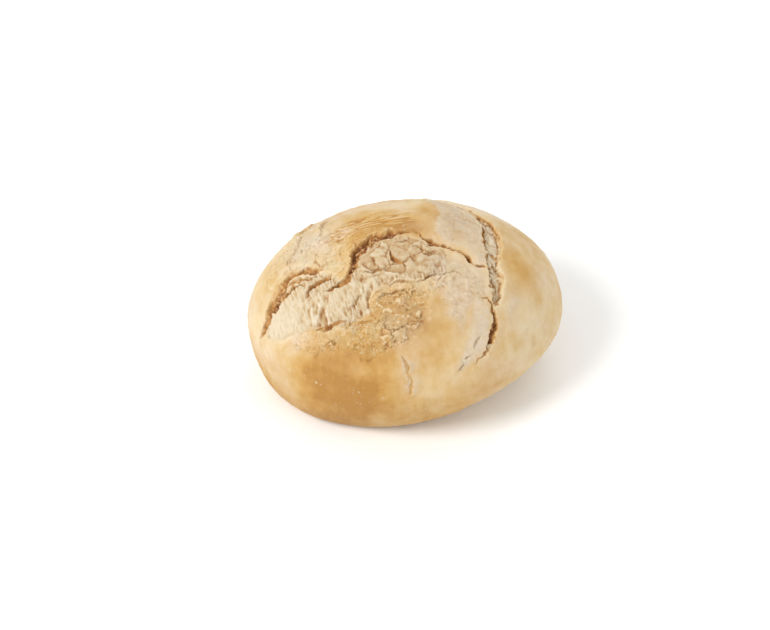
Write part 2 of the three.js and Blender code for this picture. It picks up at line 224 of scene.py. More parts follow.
TEARS = [
    # the seam: -X end, its thin strands, the arch in the middle and the +X end
    Tear([(-84, -19), (-75, -15), (-67, -10.5), (-61, -7), (-55.5, -4), (-50, -2.6)],
         (0.8, 1.8, 3.8, 5.6, 5.4, 2.8), 2.4, 0.15, 1, 0.32),
    Tear([(-60, -4.6), (-54, -1.4), (-48, 0.6), (-44, -0.6), (-40, -2.4), (-36, -4.8), (-30, -4.6)],
         (0.8, 2.8, 3.6, 2.6, 3.6, 2.8, 0.8), 1.8, 0.2, 1, 0.35),
    Tear([(-55, -7), (-51, -6.2), (-46, -6.6), (-43, -8)], (0.8, 1.6, 1.3, 0.6), 1.5, 0.2, 1, 0.4),
    Tear([(-52, -3.4), (-47, -3.2), (-42, -5.5), (-37, -7.5)], (0.8, 1.8, 1.4, 0.6), 1.2, 0.2, 1, 0.4),
    Tear([(-45, -13.5), (-42, -11.5), (-38, -10.4), (-32, -11)], (1, 2.6, 2, 0.8), 2, 0.3, 1, 0.35),
    Tear([(-38, -16.4), (-33, -17), (-28, -16.4), (-24.4, -12.6), (-22.4, -7.5), (-19, -3),
          (-13.6, -0.2), (-8, 0.6), (-2, 1.4), (4, 0)],
         (1.2, 2.4, 2.6, 4.4, 5.2, 5.2, 4.8, 4.2, 3.4, 1.4), 2.5, 0.3, 1, 0.6, 0.6),
    Tear([(0, 2.4), (4, 0), (8, -4.6), (11, -7.6), (14, -9), (18, -10.2), (21, -12.5), (24, -16),
          (30, -18.4)],
         (0.5, 1.3, 1.2, 2.2, 1.7, 1.4, 2.2, 1.4, 1.5), 2.1, 0.1, 1, 0.5),
    # the cross tear: rear and front, with its far border, and the rear tear that leaves it
    Tear([(6, 74), (12, 60), (19, 45), (24, 32), (27.5, 21), (30.4, 11), (31, 4), (29.8, -3), (29.4, -9),
          (30, -16), (32, -22), (34, -28), (34, -33)],
         (1, 2.4, 3.2, 3.4, 3.8, 3, 2.8, 2.8, 2.4, 1.6, 1.2, 1.4, 1), 2.5, 0.2, -1, 0.5),
    Tear([(30, 24), (33.6, 14), (36, 8), (37.4, 0), (37, -7), (36, -12), (34.4, -17), (36.6, -22),
          (36.4, -28), (35.6, -34)],
         (0.8, 1.4, 2, 2.2, 1.6, 1, 1, 1.2, 1.2, 1.2), 1.5, 0.15, 1, 0.6),
    Tear([(27, -33.5), (31, -34), (33.4, -38), (34.4, -44), (34.4, -50), (33, -56), (30.5, -62),
          (26, -67)],
         (0.8, 1.4, 2.2, 2.8, 3, 1.6, 1, 0.6), 2.4, 0.2, 1, 0.4, 0, 0.3),
    Tear([(24, 34), (14, 42), (-2, 46), (-18, 45), (-32, 39), (-46, 36)],
         (1.2, 2.4, 3.4, 2.8, 1.6, 0.8), 2.4, 0.5, 1, 0.6, 0.3, 0.3),
    # splits in the skirt
    Tear([(-12, -59), (-9.6, -65), (-11, -70), (-8.6, -76), (-12, -83)],
         (0.6, 1.7, 0.8, 1.9, 0.6), 0.6, 0.6, 1, 0.6, 0, 0.9),
    Tear([(27, -52), (25, -56), (24.4, -59)], (0.5, 1.6, 0.5), 0.65, 0.4, -1, 0.4, 0, 0.9),
    Tear([(23.4, -62), (20.6, -64)], (0.5, 1.5, 0.5), 0.6, 0.4, -1, 0.4, 0, 0.9),
    Tear([(20.4, -67), (18, -69), (16.6, -71.6)], (0.4, 1.4, 0.4), 0.6, 0.5, -1, 0.4, 0, 0.9),
    Tear([(-38, 54), (-36.5, 62), (-40, 70), (-38, 80)], (0.6, 1.6, 1.2, 0.6), 1.2, 0.4, 1, 0.5, 0, 0.7),
    Tear([(70, 30), (74, 22), (72, 14)], (0.5, 1.1, 0.5), 0.8, 0.3, 1, 0.5, 0, 0.8),
    # notches and creases in the crumb and on the floured plate
    Tear([(-8, -9), (-8.6, -13), (-5, -17), (1, -18)], (1, 2.6, 1.6, 0.8), 1.5, 0.3, -1, 0.5),
    Tear([(-21, -15), (-15, -18), (-10, -16)], (0.8, 2, 0.8), 0.9, 0.2, 1, 0.4),
    Tear([(2, -9), (7, -11), (12, -13.5)], (0.8, 1.4, 0.8), 0.8, 0.3, 1, 0.4),
    Tear([(22, 9), (25.5, 7.2), (28.4, 5.4), (29, 3)], (0.5, 0.9, 0.8, 0.5), 0.5, 0.2, 1),
    Tear([(14, -24), (17, -22.6), (19, -24)], (0.6, 1.4, 0.6), 0.8, 0.2, -1),
    # flakes: torn edges of the upper skin, and pits between them
    Tear([(-21, -30), (-14, -27), (-8, -26.6), (0, -27.6), (6, -25.4), (14, -24)],
         (0.6, 1.4, 1.8, 1.4, 1.2, 0.6), 0.6, 0.6, 1, 0.7, 0.3),
    Tear([(-20, -31.6), (-14, -30.4), (-8, -31), (-3, -33)], (0.6, 1.4, 1.4, 0.6), 0.5, 0.5, 1, 0.7, 0.3),
    Tear([(-41, -36.4), (-38.6, -37), (-33, -37.6), (-27, -40), (-21, -41)],
         (0.8, 1.5, 1.9, 1.8, 0.8), 0.6, 1.2, -1, 0.8, 0, 0.3),
    Tear([(-16, -40.5), (-17.4, -45), (-13, -47.6), (-7, -46.8), (-2, -46)],
         (0.6, 1.4, 1.8, 1.4, 0.6), 0.6, 0.9, -1, 0.8, 0, 0.3),
    Tear([(-59, -35), (-58.6, -31), (-54, -29.4), (-50, -30), (-45, -34)],
         (0.6, 1.4, 1.4, 1.6, 0.8), 0.5, 0.9, -1, 0.8),
    Tear([(-54, -45), (-49, -42.4), (-44, -42), (-40, -44)],
         (0.6, 1.4, 1.6, 0.6), 0.5, 0.7, -1, 0.7),
    Tear([(-47, -33), (-42, -34.6), (-37, -34), (-32, -35.6)], (1.2, 3.4, 2.4, 0.8), 1.7, 0.3, -1),
    Tear([(-31, -31), (-27, -28), (-24, -26)], (0.8, 1.9, 0.8), 1.1, 0.3, 1, 0.2),
    Tear([(-15.4, -49), (-14, -51.5), (-13, -54)], (0.8, 2, 0.8), 0.9, 0.4, 1),
    Tear([(-33, -55), (-29, -58), (-24, -57)], (0.5, 1.2, 0.5), 0.3, 0.5, -1),
    # and of the pale skin at the rear
    Tear([(-34, 42), (-37.6, 34), (-41, 27), (-40.6, 18), (-43, 11), (-47, 7), (-45.5, 2)],
         (0.8, 1.8, 1.6, 1.1, 1.5, 1.2, 0.5), 0.3, 1, -1, 0.7, 0, 0.5),
    Tear([(-29, 31), (-31, 24), (-30.6, 17), (-32.4, 11)],
         (0.6, 1.4, 1.1, 0.5), 0.25, 0.8, -1, 0.7, 0, 0.5),
    Tear([(-34, 9), (-28, 11), (-24.6, 8.6), (-22, 9)], (0.5, 1, 0.8, 0.4), 0.3, 0.5, 1, 0.6),
    Tear([(-34.6, 4), (-35.4, 0), (-34.4, -4)], (0.5, 1.3, 0.7), 0.8, 0.4, 1, 0.4),
    Tear([(-41, 12), (-39.6, 8)], (0.6, 1.2, 0.6), 0.7, 0.3, 1, 0.4),
]

# Closed outlines, in places (u, v), of where the crust is of one kind.
TORN_CRUMB = [
    (-74, -17), (-64, -10), (-57, -6), (-51, -3.5), (-46, -2.5), (-40, -4), (-34, -7), (-30, -12.5),
    (-27, -15.5), (-24, -11), (-21.5, -6), (-17.5, -2.2), (-12, -0.8), (-4, -0.2), (4, -2),
    (10, -7.5), (15, -11), (16, -20), (10, -26), (0, -27.5), (-10, -27), (-20, -29), (-22, -37),
    (-31, -39), (-40, -37), (-50, -31), (-60, -29), (-70, -24),
]
CROSS_CRUMB = [
    (4, 74), (16, 58), (26, 36), (31, 20), (35, 10), (37.5, 0), (37, -8), (35.6, -16), (37, -24),
    (36, -36), (33, -36), (30, -20), (28.6, -8), (30, 4), (26, 20), (20, 36), (10, 54),
]
FRONT_FLAP = [  # floury skin on the -X side of the cross tear's front
    (24, -33), (31, -35), (33, -44), (33, -53), (29, -62), (22, -70), (17, -66), (20, -54),
    (22, -44),
]
SHELF = [  # crumb under the arch, torn into pads
    (-23, -12), (-21.5, -6), (-17, -2.2), (-12, -0.6), (-4, 0), (4, -2), (10, -7.5), (16, -11),
    (14, -19), (9, -25), (0, -26), (-12, -25), (-21, -20),
]
FLAKY = [  # peeling skin in front of the crumb
    (-26, -30), (-16, -26), (0, -26), (14, -23), (14, -31), (5, -37), (3, -46), (-6, -55),
    (-18, -58), (-30, -56), (-44, -48), (-58, -42), (-62, -32), (-48, -30), (-38, -37),
]
REAR_FLAKES = [  # and behind it, near the -X end
    (-58, 0), (-50, 4), (-42, 1), (-37, -5), (-34, -12), (-29, -13), (-26, -7), (-24, 4), (-27, 14),
    (-34, 27), (-45, 29), (-54, 20), (-60, 8),
]
STRETCHED = [  # drawn skin behind the arch
    (-26, 0), (-18, 3), (-8, 4), (4, 3), (10, 8), (6, 19), (-8, 23), (-22, 21), (-32, 12), (-31, 2),
]
FLOURED = [  # the smooth floured plate beside the cross tear
    (18, 21), (16.5, 12), (12, 5), (12, -5), (20, -9), (29, -17), (29, -4), (30.5, 6), (28, 18),
    (23, 32), (17, 38),
]
PLATEAU = [  # dull skin in front of that
    (6, -12), (14, -10), (22, -14), (30, -19), (34, -32), (24, -42), (20, -54), (14, -50),
    (10, -38), (4, -26),
]

# Soft round blots, (u, v, reach, reach, amount): where the skin is browner or paler, partly from the
# oven's browning and partly painted light and shade, paler where the light falls from the left and
# browner low on the front,
BROWNING_AND_SHADING = [
    (-16, 20, 16, 8, 0.3), (-17, 1, 8, 6, 0.22), (-26, 12, 8, 9, -0.22), (3, 1, 9, 6, 0.34),
    (40, -10, 5, 8, 0.22), (-100, -12, 10, 20, 0.16), (42, 24, 10, 10, -0.24), (-5, 5, 12, 5, 0.36),
    (14, 16, 7, 8, 0.42), (-39, 12, 10, 14, -0.2), (-44, -2, 10, 6, 0.14), (-4, 24, 8, 5, -0.14),
    (-54, -64, 10, 8, 0.14), (2, -66, 7, 8, 0.14), (48, -12, 11, 13, 0.24), (50, 10, 12, 9, 0.14),
    (56, -42, 12, 12, -0.08), (66, -62, 12, 10, 0.12), (3, -46, 10, 10, 0.36), (-9, -37, 11, 9, 0.54),
    (-29, -38, 7, 6, 0.26), (-26, -72, 9, 7, 0.2), (-24, -53, 18, 10, 0.5), (-48, -48, 13, 11, 0.34),
    (-38, -78, 24, 16, 0.44), (-60, -62, 22, 20, 0.58), (-84, -70, 16, 16, 0.24),
    (-62, -92, 26, 14, 0.42), (-104, -30, 14, 30, 0.34), (0, -104, 70, 15, 0.3),
    (36, -84, 20, 10, 0.2), (-80, 8, 26, 28, -0.12), (20, 60, 34, 14, 0.28), (-46, 58, 24, 14, 0.22),
    (84, 20, 20, 26, 0.12),
]
# where flour was smeared,
SMEARS = [
    (42, -33, 4.5, 9, 0.7), (-38, 12, 9, 14, 0.55), (20, -9, 9, 6, -0.35), (-4, -42, 20, 13, 0.22),
    (-33, 29, 5, 6, 0.8), (6, 2, 7, 5, 0.15), (-30, 70, 20, 10, 0.35), (64, 22, 9, 12, 0.30),
    (-8, -52, 8, 5, 0.25),
]
# and where the seam's thin strands leave brown rubble in the crumb.
RUBBLE = [(-53, -6, 8, 3.5, 1)]

PATH_POINTS = 90
TEAR_REACH = 9  # mm from its path that a tear moves the crust
LIP_REACH = 2.2  # mm over which a lip settles back
OVERHANG = 0.14  # how far the lip leans over its groove, as a share of the width
STRAND_GAP = 0.95  # mm from one strand to the next
STRAND_REACH = 4.2  # mm from the lip to the last strand
WANDER, WANDER_SPACING = 0.28, 2.8  # how much a tear's width varies, and over how many mm
RAGGED, RAGGED_SPACING = 0.35, 3.4  # the same for its depth
GROOVE_ROUND = 1.7  # power of the groove's profile
BROWN_FROM, BROWN_RISE = 0.4, 1.6  # mm: depth where walls turn brown, and on to full brown
WALL_PALER = 0.72  # how much of the brown is gone at the top of the lip's wall
DUST_REACH = 1.1  # mm that the flour reaches beyond a groove


def curve_through(corners, count, closed=False):
    """Points spread evenly along a smooth curve through the corners (Catmull-Rom)."""
    corners = np.array(corners, float)
    if closed:
        padded = np.concatenate([corners[-1:], corners, corners[:2]])
    else:
        before, after = 2 * corners[0] - corners[1], 2 * corners[-1] - corners[-2]
        padded = np.concatenate([[before], corners, [after]])
    t = np.linspace(0, 1, 16, endpoint=False)[:, None]
    spans = []
    for a, b, c, d in zip(padded, padded[1:], padded[2:], padded[3:]):
        bend = (2 * a - 5 * b + 4 * c - d) * t**2 + (3 * b - a - 3 * c + d) * t**3
        spans.append(b + 0.5 * ((c - a) * t + bend))
    line = np.concatenate(spans + [padded[-2:-1]])
    passed = np.concatenate([[0], np.cumsum(np.linalg.norm(np.diff(line, axis=0), axis=1))])
    wanted = np.linspace(0, passed[-1], count)
    return np.stack([np.interp(wanted, passed, line[:, axis]) for axis in range(2)], -1)


def inside(outline, u, v, feather):
    """1 well inside the closed outline, 0 outside it, with an edge `feather` degrees wide."""
    line = curve_through(outline, 120, closed=True)
    share = np.zeros(len(u))
    here = np.stack([u, v], -1)
    near = ((here > line.min(axis=0) - 1) & (here < line.max(axis=0) + 1)).all(axis=1)
    here = here[near][:, None]
    start, end = line[:-1], line[1:]
    along = end - start
    t = ((here - start) * along).sum(-1) / np.maximum((along**2).sum(-1), 1e-12)
    gap = np.linalg.norm(start + np.clip(t, 0, 1)[..., None] * along - here, axis=-1).min(axis=1)
    rises = (start[:, 1] <= here[..., 1]) != (end[:, 1] <= here[..., 1])
    height = np.where(np.abs(along[:, 1]) < 1e-9, 1e-9, along[:, 1])
    crossing = start[:, 0] + (here[..., 1] - start[:, 1]) / height * along[:, 0]
    within = (rises & (crossing > here[..., 0])).sum(axis=1) % 2 == 1
    share[near] = np.where(within, smooth(gap, 0, feather), 0)
    return share


def blotted(base, blots, u, v):
    """base, with the blots added to it."""
    total = base + np.zeros(len(u))
    for at_u, at_v, reach_u, reach_v, amount in blots:
        total += amount * np.exp(-(((u - at_u) / reach_u) ** 2) - ((v - at_v) / reach_v) ** 2)
    return total


def against_tear(tear, points, normals):
    """Where points lie against a tear: the indices of those within reach, their distance from
    its line (positive on the lip's side), its width there and the direction across it."""
    line_u, line_v = curve_through(tear.path, PATH_POINTS).T
    line = loaf(direction(line_u, line_v))
    above, below = points > line.min(axis=0) - TEAR_REACH, points < line.max(axis=0) + TEAR_REACH
    near = np.flatnonzero((above & below).all(axis=1))
    here = points[near]
    closest = np.linalg.norm(here[:, None] - line, axis=-1).argmin(axis=1)
    begin = np.clip(closest, 1, len(line) - 2) - np.array([[1], [0]])
    span = line[begin + 1] - line[begin]
    t = np.clip(((here - line[begin]) * span).sum(-1) / (span**2).sum(-1), 0, 1)
    foot = line[begin] + t[..., None] * span
    distance = np.linalg.norm(here - foot, axis=-1)
    closer = distance.argmin(axis=0), np.arange(len(near))
    passed = ((begin + t) / (len(line) - 1))[closer]
    across = unit(np.cross(normals[near], span[closer])) * tear.side
    side = np.where(((here - foot[closer]) * across).sum(1) < 0, -1, 1)
    width = np.interp(passed, np.linspace(0, 1, len(tear.widths)), tear.widths)
    ends = smooth(passed, 0, 0.04) * smooth(1 - passed, 0, 0.04)
    return near, distance[closer] * side, width * (0.25 + 0.75 * ends), across


def tear_relief(points, normals):
    """What all the tears together do: depth of the grooves, height of the lips, the sideways
    shift, how deep inside a tear each point is, the strands above the lips and the flour."""
    groove, lip, deep, strand, dust = (np.zeros(len(points)) for _ in range(5))
    shift = np.zeros((len(points), 3))
    for tear in TEARS:
        near, distance, width, across = against_tear(tear, points, normals)
        width = width * (1 + WANDER * rough(points[near], WANDER_SPACING, 73, 2))
        half = width / 2
        strength = width / max(tear.widths)
        ragged = 1 + RAGGED * rough(points[near], RAGGED_SPACING, 63, 3)
        share = distance / width + 0.5
        rise = share - tear.low
        from_bottom = np.where(rise < 0, -rise / tear.low, rise / (1 - tear.low))
        here = tear.depth * strength * ragged * np.clip(1 - from_bottom**GROOVE_ROUND, 0, 1)
        beyond = np.maximum(distance - half, 0)
        rising = np.where(distance > half, 1, smooth(share, tear.low, 1.05))
        lip_here = tear.lip * np.sqrt(strength) * rising * np.exp(-((beyond / LIP_REACH) ** 2))
        lip_here *= np.clip(0.4 + ragged, 0, 2) * 0.7
        lean = OVERHANG * width * np.exp(-(((distance - half) / (0.3 * half + 0.25)) ** 2))
        dark = smooth(share, -0.05, 0.1 + 0.9 * np.maximum(tear.low - 0.35, 0))
        dark *= 1 - WALL_PALER * smooth(share, tear.low + 0.1, 0.95)
        dark *= 1 - smooth(share, 0.95, 1.15)
        dark *= np.clip((tear.depth * strength * ragged - BROWN_FROM) / BROWN_RISE, 0, 1)
        fade = strength * (1 - smooth(beyond, 0.5 * STRAND_REACH, STRAND_REACH)) * (distance > half - 0.4)
        wave = np.sin(2 * np.pi * (beyond / STRAND_GAP + 0.45 * noise(points[near], 3.0, 61)))

        leans_more = (lean > np.abs(shift[near]).sum(axis=1))[:, None]
        shift[near] = np.where(leans_more, -lean[:, None] * across, shift[near])
        strand[near] += tear.strands * fade * wave
        powder = tear.dust * strength * smooth(np.abs(distance) / half, 0.6, 1.1)
        powder *= np.exp(-((np.maximum(np.abs(distance) - half, 0) / DUST_REACH) ** 2))
        for total, part in ((groove, here), (lip, lip_here), (deep, dark), (dust, powder)):
            total[near] = np.maximum(total[near], part)
    return groove, lip, shift, deep, strand, dust


# ---- the fine mesh

SPHERE_LEVEL = 5
CRUST_EDGE = 1.0  # mm, the edges wanted on smooth crust,
TORN_EDGE = 0.44  # in torn and flaky zones,
TEAR_EDGE = 0.3  # in the tears
UNDER_EDGE = 1.7  # and near the base
TOO_LONG = 1.35  # an edge is split when it is longer than wanted by this factor
MOST_ROUNDS = 8


def even_sphere(level):
    """Directions and triangles of a sphere of even triangles."""
    ball = bmesh.new()
    bmesh.ops.create_icosphere(ball, subdivisions=level, radius=1)
    directions = np.array([vert.co[:] for vert in ball.verts])
    faces = np.array([[vert.index for vert in face.verts] for face in ball.faces])
    ball.free()
    return unit(directions), faces


def wanted_edge(directions):
    """The edge length wanted at each direction: finest in the tears, coarse underneath."""
    points = loaf(directions)
    u, v = place(directions)
    torn, in_tear = np.zeros(len(u)), np.zeros(len(u))
    for outline in (TORN_CRUMB, CROSS_CRUMB, FLAKY, STRETCHED, REAR_FLAKES, PLATEAU):
        torn = np.maximum(torn, inside(outline, u, v, 3))
    for tear in TEARS:
        near, distance, width, _ = against_tear(tear, points, directions)
        margin = 0.6 + tear.strands * STRAND_REACH * (distance > 0)
        within = margin + width / 2 - np.abs(distance)
        in_tear[near] = np.maximum(in_tear[near], smooth(within, -1.2, 0))
    edge = CRUST_EDGE + (TORN_EDGE - CRUST_EDGE) * torn
    edge += (TEAR_EDGE - edge) * in_tear
    return edge + (UNDER_EDGE - CRUST_EDGE) * smooth(np.hypot(u, v), 105, 130)


def split_long_edges(directions, faces, wanted):
    """Splits each edge that is longer than wanted, once. Triangles with one, two or three split
    edges become two, three or four, so neighbours always share whole edges."""
    pairs = np.sort(faces[:, [[0, 1], [1, 2], [2, 0]]].reshape(-1, 2), axis=1)
    edges, which = np.unique(pairs, axis=0, return_inverse=True)
    ends = loaf(directions)[edges]
    length = np.linalg.norm(ends[:, 0] - ends[:, 1], axis=1)
    split = length > TOO_LONG * wanted[edges].min(axis=1)
    middles = unit(directions[edges[split]].sum(axis=1))
    made = np.full(len(edges), -1)
    made[split] = len(directions) + np.arange(split.sum())
    made = made[which.reshape(-1, 3)]
    count = (made >= 0).sum(axis=1)
    # Each triangle is turned so that its split edges come first.
    first = np.where(count == 2, ((made < 0).argmax(axis=1) + 1) % 3, (made >= 0).argmax(axis=1))
    turn = (first[:, None] + np.arange(3)) % 3
    a, b, c = np.take_along_axis(faces, turn, axis=1).T
    ab, bc, ca = np.take_along_axis(made, turn, axis=1).T
    patterns = {
        0: [(a, b, c)],
        1: [(a, ab, c), (ab, b, c)],
        2: [(ab, b, bc), (a, ab, bc), (a, bc, c)],
        3: [(a, ab, ca), (ab, b, bc), (ca, bc, c), (ab, bc, ca)],
    }
    finer = [np.stack(corners, -1)[count == n] for n, parts in patterns.items() for corners in parts]
    directions = np.concatenate([directions, middles])
    return directions, np.concatenate(finer), np.concatenate([wanted, wanted_edge(middles)])


def fine_sphere():
    directions, faces = even_sphere(SPHERE_LEVEL)
    wanted = wanted_edge(directions)
    for _ in range(MOST_ROUNDS):
        before = len(faces)
        directions, faces, wanted = split_long_edges(directions, faces, wanted)
        if len(faces) == before:
            break
    return directions, faces


def averaged(values, faces, rounds):
    """Values on a mesh's vertices, evened out with their neighbours again and again."""
    links = np.concatenate([faces[:, [0, 1]], faces[:, [1, 2]], faces[:, [2, 0]]])
    neighbours = np.bincount(links.ravel(), minlength=len(values))
    for _ in range(rounds):
        total = np.bincount(links[:, 0], values[links[:, 1]], len(values))
        total += np.bincount(links[:, 1], values[links[:, 0]], len(values))
        values = 0.3 * values + 0.7 * total / neighbours
    return values


# ---- the relief

BAKED = 0.36  # how brown plain skin is, from 0 to 1
FRAY = 0.75  # mm by which the edges of tears and zones wander
SWELL, SWELL_SPACING = 0.5, 24  # mm: height and spacing of the dough's broad swells,
SKIN, SKIN_SPACING = 0.14, 7  # of the skin's unevenness,
BLISTER, BLISTER_SPACING = 0.10, 2.6  # of its blisters
GRAIN, GRAIN_SPACING = 0.05, 1.1  # and of the grain of it all
CRUMB_SINK, SHELF_RISE = 0.8, 0.6  # mm: how far crumb lies below the skin, less on the shelf
CROSS_SINK = 0.5  # mm more in the cross tear
FLOUR_RISE, REAR_RISE = 0.3, 0.5  # mm: height of the floured plate and of the rear flakes


def frayed(directions, points):
    """Directions moved a little at random, so that tears and zones get ragged edges."""
    coarse, fine = (
        np.stack([rough(points, size, seed + 7 * axis, 2) for axis in range(3)], -1)
        for size, seed in ((4.5, 11), (1.5, 51))
    )
    return unit(directions + (coarse + 0.5 * fine) * FRAY / (HEIGHT * 0.8))


def threads(points, size, seed, width=0.13):
    """Thin curved ridges from 0 to 1, like the edges of crumpled skin."""
    bent = points + 0.5 * size * np.stack([noise(points, size, seed + axis) for axis in (1, 2, 3)], -1)
    return np.exp(-((noise(bent, size, seed) / width) ** 2))


def where_needed(share, height, *inputs):
    """height(*inputs) for the points whose share is above 0, and 0 elsewhere."""
    needed = share > 0
    result = np.zeros(len(share))
    result[needed] = height(*(values[needed] for values in inputs))
    return result


def crumb_height(points, u):
    """Torn crumb: lumps, fibres that run across the seam and small pits."""
    fibres = points * [1, 0.24, 0.4]
    pit, _, pit_name = cells(fibres * [1, 1.6, 1.3], 1.25, 41)
    pits = 0.35 * smooth(0.6 - pit, 0, 0.45) * (pit_name > 0.6) * smooth(noise(points, 6, 43), -0.4, 0.3)
    fine = 0.5 * (0.5 - np.abs(rough(fibres, 1.5, 35, 2))) + 0.3 * threads(fibres, 2.2, 37)
    fine += 0.1 * rough(points, 1.5, 39, 2)
    folds = 0.5 * noise(points * [1, 0.3, 0.4], 6, 46)
    clumps = 0.4 * rough(points * [1, 0.6, 0.7], 4, 31, 2)
    clumps -= 0.8 * smooth(noise(fibres, 3.4, 45), 0.42, 0.8)
    return folds + (clumps + fine - pits) * (0.25 + 0.75 * smooth(u, -60, -40))


def pad_height(points, moved_points):
    """Crumb torn into soft pads with gaps between."""
    near, beyond, name = cells(moved_points, 4.4, 55)
    gaps = (1 - smooth(beyond - near, 0.05, 1.2)) * smooth(noise(points, 4, 56), -0.3, 0.3)
    return 0.7 * (name - 0.5) - 0.36 * gaps + 0.18 * rough(points, 2.4, 57, 3)


def plateau_height(points):
    """Dry skin that lost its gloss: soft bumps, a few pits and thin ridges."""
    bumps = 0.2 * rough(points, 2.6, 111, 3)
    hollows = 0.25 * smooth(noise(points, 2.2, 115), 0.45, 0.8)
    return bumps - hollows + 0.14 * threads(points, 4.5, 117, 0.09)


def flake_height(points, u):
    """Flaky skin: layers with sharp edges, broken into chips towards the middle."""
    slope = 1.9 * rough(points, 7, 61, 3, 0.6)
    layers = terraces(slope, 0.2) - slope
    bent = points + np.stack([noise(points, 2.5, seed) for seed in (62, 63, 64)], -1)
    near, beyond, name = cells(bent * [0.8, 1, 1], 2.7, 71)
    chips = (name - 0.5) * smooth(beyond - near, 0, 0.4) * smooth(u, -40, -14)
    return 0.5 * layers + 0.8 * chips + 0.18 * threads(points, 3.4, 68) + 0.12 * rough(points, 2.2, 69, 3)


def stretch_height(points):
    """Skin drawn out across the seam: layer over layer, with creases along the roll."""
    creases = points * [0.14, 1, 0.75]
    drawn = 2.2 * rough(creases, 4.2, 65, 3)
    return 0.24 * (terraces(drawn, 0.35) - drawn) - 0.42 * threads(creases, 1.7, 67, 0.16)


def zones(u, v):
    """How far inside each kind of crust the points lie, from 0 to 1."""
    zone = SimpleNamespace(
        torn=inside(TORN_CRUMB, u, v, 2.5),
        cross=inside(CROSS_CRUMB, u, v, 1.4),
        flap=inside(FRONT_FLAP, u, v, 3),
        shelf=inside(SHELF, u, v, 4),
        flaky=np.maximum(inside(FLAKY, u, v, 4), 0.85 * inside(REAR_FLAKES, u, v, 5)),
        rear=inside(REAR_FLAKES, u, v, 1.0),
        stretched=inside(STRETCHED, u, v, 6),
        floured=inside(FLOURED, u, v, 1.3),
        plateau=inside(PLATEAU, u, v, 6),
    )
    zone.crumb = np.maximum(zone.torn, zone.cross)
    zone.floury = np.maximum.reduce([zone.floured, zone.plateau, zone.flap])
    return zone


def skin_relief(points, zone, above_rim):
    """Swells all over, and the unevenness and blisters of skin that isn't torn."""
    swell = SWELL * noise(points, SWELL_SPACING, 1) * above_rim
    skin = SKIN * rough(points, SKIN_SPACING, 5, 3) * above_rim
    blister, _, name = cells(points, BLISTER_SPACING, 21)
    blisters = BLISTER * smooth(1.1 - blister, 0, 0.8) * (name > 0.55)
    return swell + skin * (1 - zone.crumb) + blisters * (1 - zone.crumb) * (1 - zone.floury)


def crumb_relief(points, moved_points, u, zone):
    """Fibrous crumb in the seam, and pads on the shelf and in the cross tear."""
    torn = (1 - zone.shelf) * where_needed(zone.torn, crumb_height, points, u)
    torn += zone.shelf * where_needed(zone.shelf, pad_height, points, moved_points)
    cross = where_needed(zone.cross, pad_height, points, moved_points) - CROSS_SINK
    return np.where(zone.cross > zone.torn, cross, torn) - CRUMB_SINK + SHELF_RISE * zone.shelf


def browning_and_shading(points, u, v, from_summit, zone, stretch, strand):
    """How brown the skin is, from 0 to 1: the oven's browning, with painted light and shade mixed in."""
    bake_and_shading = blotted(BAKED, BROWNING_AND_SHADING, u, v)
    bake_and_shading += 0.13 * rough(points, 13, 91, 3) + 0.07 * rough(points, 3.5, 95, 3)
    # Browner towards the base, between the strands and in the stretched skin's creases: partly real
    # browning, partly painted shade.
    bake_and_shading += 0.22 * smooth(from_summit, 98, 132) + 0.25 * np.clip(-strand, 0, 1)
    bake_and_shading += 1.2 * zone.stretched * np.clip(-stretch, 0, 0.5)
    return np.clip(bake_and_shading, 0, 1)


def flouring(points, u, v, zone, dust):
    """How much flour lies on the crust, from 0 to 1."""
    flour = [0.95 * zone.floured, 0.7 * zone.plateau, 0.85 * zone.flap, 0.2 * zone.cross]
    flour = np.maximum(blotted(np.maximum.reduce(flour), SMEARS, u, v), dust)
    return np.clip(flour + 0.3 * flour * rough(points, 3, 99, 3), 0, 1)


